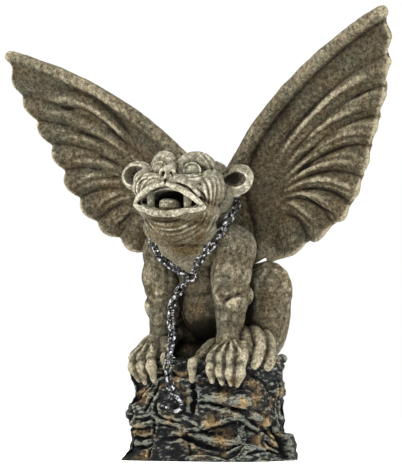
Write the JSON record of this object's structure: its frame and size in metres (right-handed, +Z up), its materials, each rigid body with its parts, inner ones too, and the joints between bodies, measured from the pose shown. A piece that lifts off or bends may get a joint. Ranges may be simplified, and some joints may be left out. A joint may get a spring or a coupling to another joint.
{
  "type": "stone gargoyle",
  "caption": "Winged crouching gargoyle in cast stone on a rock base, with an iron chain round its neck that hangs to a broken link; a free-standing roof or garden ornament.",
  "frame": {"origin": "middle of the rock's flat foot, on the surface it stands on", "axes": "+Z up, -Y the way the beast faces, +X its left wing"},
  "size_m": [0.4854, 0.1685, 0.4702],
  "materials": {
    "stone": "weathered cast stone, dry-brushed, darker on the rock",
    "iron": "black, worn to bare metal on the high places"
  },
  "bodies": {
    "root": {"broken_link": "iron", "chest_ring": "iron", "gargoyle": "stone", "hanging_link_01": "iron", "hanging_link_02": "iron", "hanging_link_03": "iron", "hanging_link_04": "iron", "hanging_link_05": "iron", "hanging_link_06": "iron", "hanging_link_07": "iron", "hanging_link_08": "iron", "hanging_link_09": "iron", "hanging_link_10": "iron", "hanging_link_11": "iron", "hanging_link_12": "iron", "hanging_link_13": "iron", "hanging_link_14": "iron", "hanging_link_15": "iron", "neck_link_01": "iron", "neck_link_02": "iron", "neck_link_03": "iron", "neck_link_04": "iron", "neck_link_05": "iron", "neck_link_06": "iron", "neck_link_07": "iron", "neck_link_08": "iron", "neck_link_09": "iron", "neck_link_10": "iron", "neck_link_11": "iron", "neck_link_12": "iron", "neck_link_13": "iron", "neck_link_14": "iron", "neck_link_15": "iron", "neck_link_16": "iron", "neck_link_17": "iron", "neck_link_18": "iron", "neck_link_19": "iron", "neck_link_20": "iron", "neck_link_21": "iron", "neck_link_22": "iron", "neck_link_23": "iron", "neck_link_24": "iron", "neck_link_25": "iron", "neck_link_26": "iron", "neck_link_27": "iron", "neck_link_28": "iron", "neck_link_29": "iron", "neck_link_30": "iron", "neck_link_31": "iron", "neck_link_32": "iron", "neck_link_33": "iron"}
  },
  "joints": []
}
